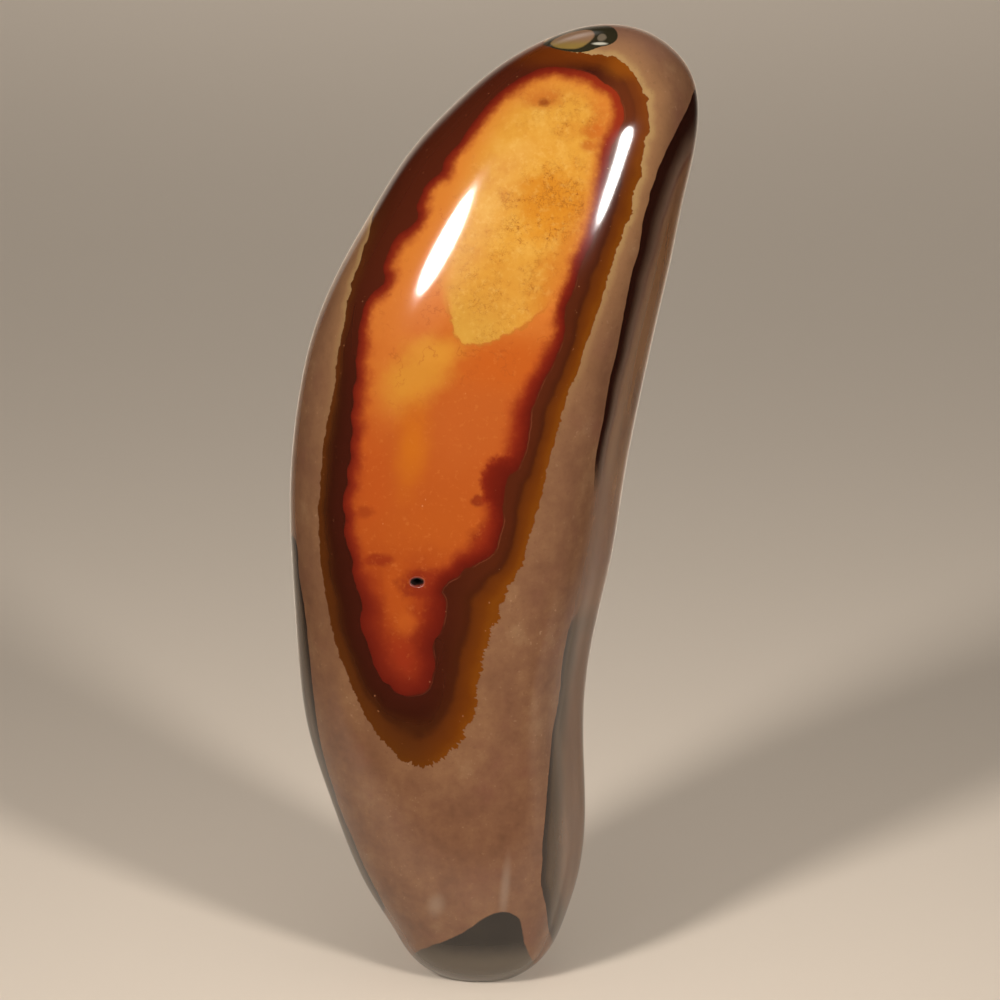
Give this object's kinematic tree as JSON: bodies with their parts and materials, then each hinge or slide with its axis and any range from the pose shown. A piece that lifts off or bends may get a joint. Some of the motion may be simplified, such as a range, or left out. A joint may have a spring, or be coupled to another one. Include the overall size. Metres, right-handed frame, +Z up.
{
  "type": "polychrome jasper freeform",
  "caption": "Polished natural stone freeform of banded orange and brown jasper, tall and leaning, that stands upright on a small ground flat as a display piece.",
  "frame": {"origin": "middle of the small ground flat that the stone stands on", "axes": "+Z up along the stone's height, -Y towards the front with the orange figure, +X to the right as seen from the front"},
  "size_m": [0.0625, 0.0371, 0.15],
  "materials": {
    "jasper": "polished"
  },
  "bodies": {
    "root": {"stone": "jasper"}
  },
  "joints": []
}
